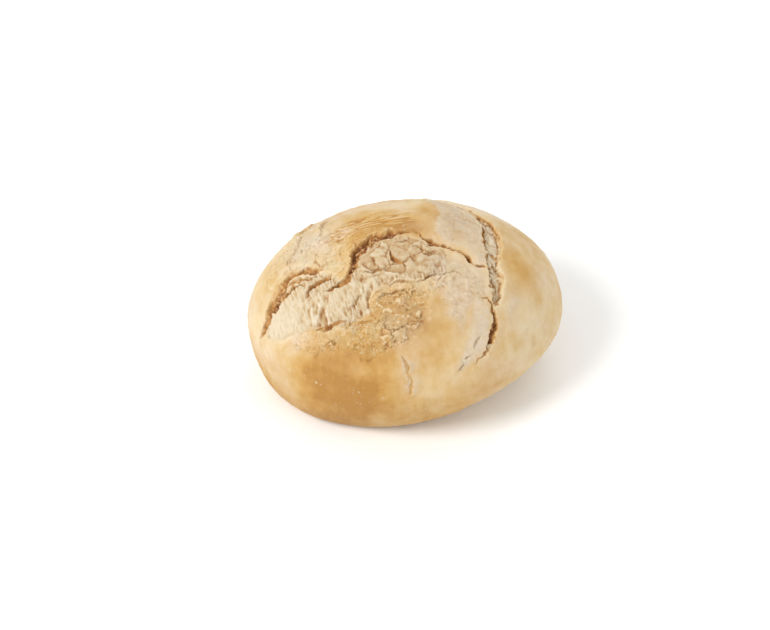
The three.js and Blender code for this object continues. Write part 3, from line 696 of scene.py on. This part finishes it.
def roll_surface(directions, normals, faces):
    """The roll's finished points, triangles and the looks of each vertex."""
    points = loaf(directions)
    moved = frayed(directions, points)
    moved_points = loaf(moved)
    u, v = place(moved)
    from_summit = np.hypot(*place(directions))
    above_rim = smooth(points[:, 2], 0, 7)
    zone = zones(u, v)
    torn, crumb = zone.torn, zone.crumb
    groove, lip, shift, deep, strand, dust = tear_relief(moved_points, normals)
    dry = where_needed(zone.plateau, plateau_height, points)
    flakes = where_needed(zone.flaky, flake_height, points, u)
    stretch = where_needed(zone.stretched, stretch_height, points)

    relief = skin_relief(points, zone, above_rim)
    relief += (
        crumb * crumb_relief(points, moved_points, u, zone)
        + zone.flaky * (1 - torn) * flakes
        + zone.stretched * (1 - crumb) * stretch
    )
    relief += (1 - torn) * (REAR_RISE * zone.rear + zone.plateau * dry) + FLOUR_RISE * zone.floured
    grain = GRAIN * rough(points, GRAIN_SPACING, 81, 2)
    relief += (0.4 + zone.floury) * grain + lip - groove + 0.2 * strand
    relief += deep * (0.42 * rough(points, 1.2, 85, 2) + 0.3 * threads(points, 2.2, 87, 0.16))
    on_foot = from_summit >= np.degrees(FOOT_EDGE)
    relief = np.where(on_foot, 0, relief * smooth(points[:, 2], 0, 1.5))
    finished = points + normals * relief[:, None] + shift * above_rim[:, None]
    finished[:, 2] = np.maximum(finished[:, 2], LOW[2])

    # Painted light and shade: fine ridges are made paler as painted highlights and fine hollows darker as
    # painted shade; in torn places the hollows may be deep brown.
    texture = relief - lip + 0.7 * groove
    fine = texture - averaged(texture, faces, 12)
    broad = texture - averaged(texture, faces, 80)
    rubble = blotted(0, RUBBLE, u, v)
    deep = np.maximum(deep, 0.25 * zone.cross * smooth(-fine, 0.0, 0.3))
    deep = np.maximum(deep, 0.7 * torn * rubble * smooth(-fine, -0.15, 0.2))
    bared = torn * (1 - zone.shelf) * (0.17 * smooth(u, -66, -40) - 0.11)
    level = 0.17 * zone.shelf + 0.1 * zone.floured - 0.1 * zone.flap + bared
    looks = {
        "bake_and_shading": browning_and_shading(points, u, v, from_summit, zone, stretch, strand),
        "crumb": np.clip(crumb, 0, 1),
        "flour": flouring(points, u, v, zone, dust),
        "deep": np.clip(deep, 0, 1),
        "ridge_shading": np.clip(0.5 + (0.9 - 0.3 * torn) * fine + 0.15 * broad - level, 0, 1),
    }
    return finished, faces, looks


# ---- flakes and crumbs

FLAKES, CRUMBS = 110, 180  # how many of each lie on the roll
FLAKES_ON_SKIN, CRUMBS_ON_SKIN = 0.02, 0.25  # their chance on plain skin, 2 where it is flaky
FLAKE_SIDES, FLAKE_RINGS = 17, (0.4, 0.75, 1)
FLAKE_LENGTH, FLAKE_WIDTH, FLAKE_RISE = (0.8, 2.4), (0.5, 1.3), (0.04, 0.24)  # mm, from and to
CRUMB_SIZE = (0.2, 0.5)
CRUMB_TILT = 0.1  # radians


def joined(parts):
    """One mesh from (points, triangles, looks) parts."""
    starts = np.cumsum([0] + [len(points) for points, _, _ in parts[:-1]])
    points = np.concatenate([points for points, _, _ in parts])
    faces = np.concatenate([faces + start for (_, faces, _), start in zip(parts, starts)])
    looks = {name: np.concatenate([looks[name] for _, _, looks in parts]) for name in parts[0][2]}
    return points, faces, looks


def even_looks(looks, count):
    """The looks of one place on `count` points, none of them deep in a tear."""
    return {name: np.full(count, 0.0 if name == "deep" else look) for name, look in looks.items()}


def flake(random, looks):
    """A chip of skin with a ragged outline, in the looks of its place. One of its sides stands up and is
    painted paler as a highlight, and its walls a little darker as painted shade; z is the height above
    the crust it will be laid on."""
    sides, rings = FLAKE_SIDES, FLAKE_RINGS
    turn = np.arange(sides) / sides * 2 * np.pi
    outline = 1 + 0.25 * np.sin(3 * turn + random.uniform(0, 6)) + random.normal(0, 0.2, sides)
    length, width = random.uniform(*FLAKE_LENGTH), random.uniform(*FLAKE_WIDTH)
    share = np.concatenate([[0], np.repeat(rings, sides)])
    reach = share * np.concatenate([[1], np.tile(outline, len(rings))])
    bearing = np.concatenate([[0], np.tile(turn, len(rings))])
    x, y = length * reach * np.cos(bearing), width * reach * np.sin(bearing)
    raised = np.clip(y / width, 0, 1) ** 2
    top = np.stack([x, y, 0.08 - 0.06 * share + random.uniform(*FLAKE_RISE) * raised], -1)
    points = np.concatenate([top, np.stack([x, y, 0 * x - 0.1], -1)])
    here, after = np.arange(sides), (np.arange(sides) + 1) % sides

    def between(inner, outer):
        """Triangles between two rings, which begin with these points."""
        one = np.stack([inner + here, outer + here, outer + after], -1)
        return np.concatenate([one, np.stack([inner + here, outer + after, inner + after], -1)])

    middle, edge, below = 1 + sides, 1 + 2 * sides, len(top)
    cap = np.stack([0 * here, 1 + here, 1 + after], -1)
    upper = np.concatenate([cap, between(1, middle), between(middle, edge)])
    faces = np.concatenate([upper, below + upper[:, ::-1], between(edge, below + edge)])
    own = even_looks(looks, len(points))
    # Painted highlight on the raised side, painted shade on the walls.
    own["ridge_shading"] = np.concatenate([0.5 + random.uniform(0, 0.12) + 0.12 * raised, 0 * raised + 0.44])
    return points, faces, own


def crumb(random, looks):
    """A small low lump, paler than its place, with painted light on its top."""
    directions, faces = even_sphere(2)
    lump = directions * random.uniform(*CRUMB_SIZE) * random.uniform(0.6, 1.3, 3) * [1, 1, 0.45]
    lump *= 1 + 0.3 * noise(directions + random.uniform(0, 99, 3), 0.9, 5)[:, None]
    own = even_looks(looks, len(lump))
    # Painted light: paler towards the top of the lump.
    own["ridge_shading"] = 0.62 + 0.12 * directions[:, 2]
    return lump, faces, own


def laid_on(crust, part, spot, axes):
    """A part's points laid on the crust, each at its own height above what lies below it."""
    out = Vector(axes[2])
    placed = []
    for point in part:
        level = Vector(spot + point[:2] @ axes[:2])
        hit = crust.ray_cast(level + 3 * out, -out, 6)[0] or level
        rise = min(max((hit - level).dot(out), -0.5), 0.6)
        placed.append(level + out * (rise + point[2]))
    return np.array(placed)


def strewn(make, count, chance, tilt, surface, normals, seed, crust=None):
    """Many small things on a surface, more where the chance is high. Each one is turned any
    way and tilted by about `tilt` radians, and bends to the crust if one is given."""
    points, faces, looks = surface
    random = np.random.default_rng(seed)
    corners = points[faces]
    area = np.linalg.norm(np.cross(corners[:, 1] - corners[:, 0], corners[:, 2] - corners[:, 0]), axis=1)
    weight = chance[faces].mean(axis=1) * area
    chosen = random.choice(len(faces), count, p=weight / weight.sum())
    parts = []
    for face in chosen:
        here = {name: look[faces[face]].mean() for name, look in looks.items()}
        part, part_faces, own = make(random, here)
        out = unit(normals[faces[face]].mean(axis=0) + random.normal(0, tilt, 3))
        side = unit(np.cross(out, random.normal(0, 1, 3)))
        axes = np.stack([side, np.cross(out, side), out])
        spot = corners[face].mean(axis=0)
        placed = spot + part @ axes if crust is None else laid_on(crust, part, spot, axes)
        parts.append((placed, part_faces, own))
    return joined(parts)


def flake_chance(surface, directions, on_skin):
    """How likely a flake is at each vertex: most where the skin is flaky, and on_skin times as
    likely on the other skin above the widest line."""
    u, v = place(directions)
    chance = 2.0 * inside(FLAKY, u, v, 4) + 1.6 * inside(REAR_FLAKES, u, v, 4)
    chance += 0.5 * inside(PLATEAU, u, v, 4)
    return (chance + on_skin * (np.hypot(u, v) < 95)) * (surface[2]["crumb"] < 0.1)


# ---- meshes

SHARP_FROM = np.radians(55)


def mesh_object(name, points, faces, looks):
    """A smooth-shaded object from points in mm, triangles and numbers for each vertex."""
    mesh = bpy.data.meshes.new(name)
    mesh.from_pydata((points * MM).tolist(), [], faces.tolist())
    mesh.validate()
    mesh.shade_smooth()
    mesh.set_sharp_from_angle(angle=SHARP_FROM)
    for look, values in looks.items():
        layer = mesh.attributes.new(look, "FLOAT", "POINT")
        layer.data.foreach_set("value", values.astype(np.float32))
    thing = bpy.data.objects.new(name, mesh)
    bpy.context.scene.collection.objects.link(thing)
    return thing


# ---- materials

BRIGHTNESS = 1.27  # how much brighter the studio shows a surface than it is
YELLOWER, BLUER = (1.0, 0.97, 0.86, 1), (1.0, 1.0, 1.12, 1)  # tints that vary over the skin


def colour(red, green, blue):
    """A colour given as it should look on the screen, from 0 to 255, turned into what the
    surface reflects."""
    screen = np.array([red, green, blue]) / 255
    light = np.where(screen <= 0.04045, screen / 12.92, ((screen + 0.055) / 1.055) ** 2.4)
    return (*(light / BRIGHTNESS), 1)


class Nodes:
    """A material's node tree, with one short call for each kind of node."""

    def __init__(self, name):
        self.material = bpy.data.materials.new(name)
        self.material.use_nodes = True
        self.tree = self.material.node_tree
        self.shader = self.tree.nodes["Principled BSDF"]

    def feed(self, node, inputs):
        """Sets a node's inputs to values, or links them to sockets of other nodes."""
        for name, value in inputs.items():
            if isinstance(value, bpy.types.NodeSocket):
                self.tree.links.new(value, node.inputs[name])
            else:
                node.inputs[name].default_value = value

    def add(self, kind, inputs, output, **settings):
        """An output of a new node."""
        node = self.tree.nodes.new("ShaderNode" + kind)
        for name, value in settings.items():
            setattr(node, name, value)
        self.feed(node, inputs)
        return node.outputs[output]

    def look(self, name):
        return self.add("Attribute", {}, "Fac", attribute_name=name)

    def noise(self, scale, detail=4, roughness=0.6, stretch=(1, 1, 1)):
        """Noise whose bumps are about 1 m / scale apart."""
        here = self.add("TexCoord", {}, "Object")
        here = self.add("Mapping", {"Vector": here, "Scale": stretch}, "Vector")
        inputs = {"Vector": here, "Scale": scale, "Detail": detail, "Roughness": roughness}
        return self.add("TexNoise", inputs, "Fac")

    def band(self, value, low, high, to_low=0.0, to_high=1.0):
        """value from low to high becomes to_low to to_high, and stays within."""
        inputs = {"Value": value, "From Min": low, "From Max": high, "To Min": to_low, "To Max": to_high}
        return self.add("MapRange", inputs, "Result")

    def math(self, operation, a, b):
        return self.add("Math", {0: a, 1: b}, 0, operation=operation)

    def ramp(self, value, stops):
        tinted = self.add("ValToRGB", {"Fac": value}, "Color")
        ramp = tinted.node.color_ramp
        while len(ramp.elements) < len(stops):
            ramp.elements.new(0.5)
        for element, (position, tint) in zip(ramp.elements, stops):
            element.position = position
            element.color = tint
        return tinted

    def mix(self, share, a, b, blend="MIX"):
        inputs = {"Factor": share, "A": a, "B": b}
        return self.add("Mix", inputs, "Result", data_type="RGBA", blend_type=blend)

    def bump(self, height, distance, strength, **under):
        inputs = {"Height": height, "Distance": distance, "Strength": strength, **under}
        return self.add("Bump", inputs, "Normal")

    def finish(self, base, roughness, normal):
        self.feed(self.shader, {"Base Color": base, "Roughness": roughness, "Normal": normal})
        return self.material


def skin_colour(nodes, ridge_shading, speckle):
    """Baked skin from pale to brown, with a painted highlight on fine ridges and painted shade in fine
    hollows.
    """
    mottle = nodes.noise(160, 5, 0.65)
    streaks = nodes.noise(330, 3, 0.6, (1, 0.3, 0.3))
    bake_and_shading = nodes.look("bake_and_shading")
    for pattern, amount in ((mottle, 0.07), (speckle, 0.035), (streaks, 0.06)):
        bake_and_shading = nodes.math("ADD", bake_and_shading, nodes.band(pattern, 0.3, 0.7, -amount, amount))
    skin = nodes.ramp(bake_and_shading, [
        (0, colour(240, 222, 190)), (0.3, colour(231, 205, 162)), (0.5, colour(222, 187, 131)),
        (0.7, colour(212, 169, 101)), (0.85, colour(203, 155, 82)), (1, colour(188, 137, 66)),
    ])
    tone = nodes.noise(75, 3, 0.5)
    skin = nodes.mix(nodes.band(tone, 0.5, 0.66), skin, YELLOWER, "MULTIPLY")
    skin = nodes.mix(nodes.band(tone, 0.5, 0.34), skin, BLUER, "MULTIPLY")
    # Painted highlight: paler on fine ridges.
    skin = nodes.mix(nodes.band(ridge_shading, 0.57, 0.8, 0.0, 0.75), skin, colour(238, 217, 176))
    # Painted shade: browner in fine hollows.
    skin = nodes.mix(nodes.band(ridge_shading, 0.44, 0.2, 0.0, 0.6), skin, colour(184, 128, 76))
    return nodes.mix(nodes.band(speckle, 0.62, 0.7, 0.0, 0.35), skin, colour(240, 224, 194))


def crumb_colour(nodes, ridge_shading, fibres):
    # Crumb from dark in fine hollows to pale on fine ridges: painted shade and painted highlight.
    crumb = nodes.ramp(ridge_shading, [
        (0.1, colour(164, 114, 72)), (0.28, colour(200, 164, 118)),
        (0.44, colour(221, 200, 164)), (0.75, colour(240, 226, 200)),
    ])
    # Browner where the fibres' bump is low: painted shade between the fibres.
    return nodes.mix(nodes.band(fibres, 0.5, 0.3, 0.0, 0.35), crumb, colour(186, 144, 98))


def flour_colour(nodes, ridge_shading, speckle):
    # Flour darker in fine hollows and paler on fine ridges: painted shade and painted highlight, with
    # specks.
    return nodes.ramp(nodes.math("ADD", ridge_shading, nodes.band(speckle, 0.3, 0.7, -0.12, 0.12)), [
        (0.15, colour(182, 140, 100)), (0.36, colour(203, 181, 151)), (0.65, colour(226, 208, 183)),
    ])


def wall_colour(nodes, ridge_shading, speckle):
    """The caramel walls of the tears, with a painted highlight on their fine ridges and with paler
    specks.
    """
    caramel = nodes.ramp(nodes.look("deep"), [
        (0.15, colour(216, 170, 106)), (0.45, colour(194, 138, 74)), (0.85, colour(152, 94, 50)),
    ])
    # Painted highlight on fine ridges.
    caramel = nodes.mix(nodes.band(ridge_shading, 0.52, 0.72, 0.0, 0.8), caramel, colour(230, 192, 132))
    return nodes.mix(nodes.band(speckle, 0.5, 0.68, 0.0, 0.5), caramel, colour(226, 184, 122))


def crust_material():
    """Skin, then crumb, flour and the tears' walls over it, each where its attribute is high."""
    nodes = Nodes("crust")
    speckle = nodes.noise(900, 4, 0.7)
    fibres = nodes.noise(1300, 4, 0.6, (1, 0.35, 0.5))
    ridge_shading = nodes.look("ridge_shading")
    skin = skin_colour(nodes, ridge_shading, speckle)
    base = nodes.mix(nodes.look("crumb"), skin, crumb_colour(nodes, ridge_shading, fibres))
    dusting = nodes.math("MULTIPLY", nodes.look("flour"), nodes.band(speckle, 0.35, 0.6, 0.75, 1.0))
    base = nodes.mix(dusting, base, flour_colour(nodes, ridge_shading, speckle))
    in_tear = nodes.band(nodes.look("deep"), 0.08, 0.4)
    base = nodes.mix(in_tear, base, wall_colour(nodes, ridge_shading, speckle))
    fine = nodes.bump(nodes.noise(1500, 3, 0.6), 0.00012, 0.6)
    skin_bump = nodes.bump(nodes.noise(420, 5, 0.65), 0.0003, 0.5, Normal=fine)
    torn = nodes.math("MULTIPLY", fibres, nodes.look("crumb"))
    normal = nodes.bump(torn, 0.0005, 0.6, Normal=skin_bump)
    dry = nodes.math("ADD", nodes.look("flour"), nodes.look("crumb"))
    roughness = nodes.band(dry, 0.0, 0.8, 0.58, 0.92)
    nodes.feed(nodes.shader, {
        "Specular IOR Level": 0.3,
        "Subsurface Weight": 0.12,
        "Subsurface Radius": (1.0, 0.55, 0.3),
        "Subsurface Scale": 0.0015,
    })
    return nodes.finish(base, roughness, normal)


def floor_material():
    nodes = Nodes("studio_floor")
    grain = nodes.noise(40, 3, 0.5)
    base = nodes.ramp(grain, [(0.3, (0.93, 0.93, 0.92, 1)), (0.7, (0.95, 0.95, 0.94, 1))])
    return nodes.finish(base, 0.9, nodes.bump(grain, 0.0001, 0.1))


# ---- stage, light and camera

VIEW_AZIMUTH = np.radians(-11.9)
VIEW_ELEVATION = np.radians(42)
VIEW_DISTANCE = 0.627
AIM = Vector((-0.0076, -0.0002, 0.0208))
LENS = 85
FLOOR_SIZE = 6
SKY_LIGHT = 0.68


def facing(thing, target):
    """Turns a camera or a lamp towards a point."""
    thing.rotation_euler = (Vector(target) - thing.location).to_track_quat("-Z", "Y").to_euler()


def add_camera():
    camera = bpy.data.objects.new("camera", bpy.data.cameras.new("camera"))
    bpy.context.scene.collection.objects.link(camera)
    back = Vector((
        np.sin(VIEW_AZIMUTH) * np.cos(VIEW_ELEVATION),
        -np.cos(VIEW_AZIMUTH) * np.cos(VIEW_ELEVATION),
        np.sin(VIEW_ELEVATION),
    ))
    camera.data.lens = LENS
    camera.data.clip_start = 0.01
    camera.location = AIM + back * VIEW_DISTANCE
    facing(camera, AIM)
    bpy.context.scene.camera = camera


def add_lamp(name, location, size, watts):
    lamp = bpy.data.objects.new(name, bpy.data.lights.new(name, "AREA"))
    bpy.context.scene.collection.objects.link(lamp)
    lamp.data.shape = "DISK"
    lamp.data.size = size
    lamp.data.energy = watts
    lamp.location = location
    facing(lamp, (0, 0, 0.03))


def add_stage():
    bpy.ops.mesh.primitive_plane_add(size=FLOOR_SIZE, location=(0, 0, float(LOW[2]) * MM))
    floor = bpy.context.object
    floor.name = "studio_floor"
    floor.data.materials.append(floor_material())
    world = bpy.data.worlds.new("studio")
    world.use_nodes = True
    sky = world.node_tree.nodes["Background"].inputs
    sky["Color"].default_value = (1, 1, 1, 1)
    sky["Strength"].default_value = SKY_LIGHT
    bpy.context.scene.world = world
    bpy.context.scene.view_settings.view_transform = "Standard"
    add_lamp("key", (-0.75, -0.25, 0.75), 0.5, 8.0)
    add_lamp("fill", (0.7, -0.7, 0.5), 0.9, 2.6)
    add_lamp("back", (0.5, 0.8, 0.8), 0.9, 4.0)


# ---- the roll

directions, triangles = fine_sphere()
normals = loaf_normals(directions)
surface = roll_surface(directions, normals, triangles)
crust_tree = BVHTree.FromPolygons(surface[0].tolist(), triangles.tolist())
chance = flake_chance(surface, directions, FLAKES_ON_SKIN)
flakes = strewn(flake, FLAKES, chance, 0.0, surface, normals, 3, crust_tree)
chance = flake_chance(surface, directions, CRUMBS_ON_SKIN)
crumbs = strewn(crumb, CRUMBS, chance, CRUMB_TILT, surface, normals, 4)
material = crust_material()
for name, piece in (("crust", surface), ("flakes", flakes), ("crumbs", crumbs)):
    thing = mesh_object(name, *piece)
    thing.data.materials.append(material)
    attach(thing, "root")
    if name == "crust":
        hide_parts("bread_roll")

add_stage()
add_camera()
